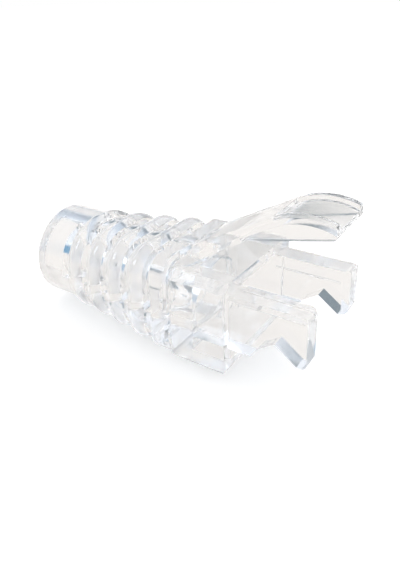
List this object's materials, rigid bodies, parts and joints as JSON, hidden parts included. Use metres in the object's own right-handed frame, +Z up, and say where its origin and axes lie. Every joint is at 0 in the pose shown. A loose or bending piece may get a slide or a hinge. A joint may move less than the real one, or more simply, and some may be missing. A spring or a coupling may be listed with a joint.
{
  "type": "modular plug strain relief boot",
  "caption": "Clear moulded slip-on boot for a data plug: round cable collar, slotted flexing ribs, square housing, hooked side arms and an arched latch guard.",
  "frame": {"origin": "on the cable bore's centreline, level with the rear wall of the square housing", "axes": "+X runs along the cable toward the plug, +Y to the left of the boot, +Z up through the latch guard"},
  "size_m": [0.0355, 0.014, 0.0179],
  "materials": {
    "clear_plastic": "polished clear moulding"
  },
  "bodies": {
    "root": {"boot": "clear_plastic"}
  },
  "joints": []
}
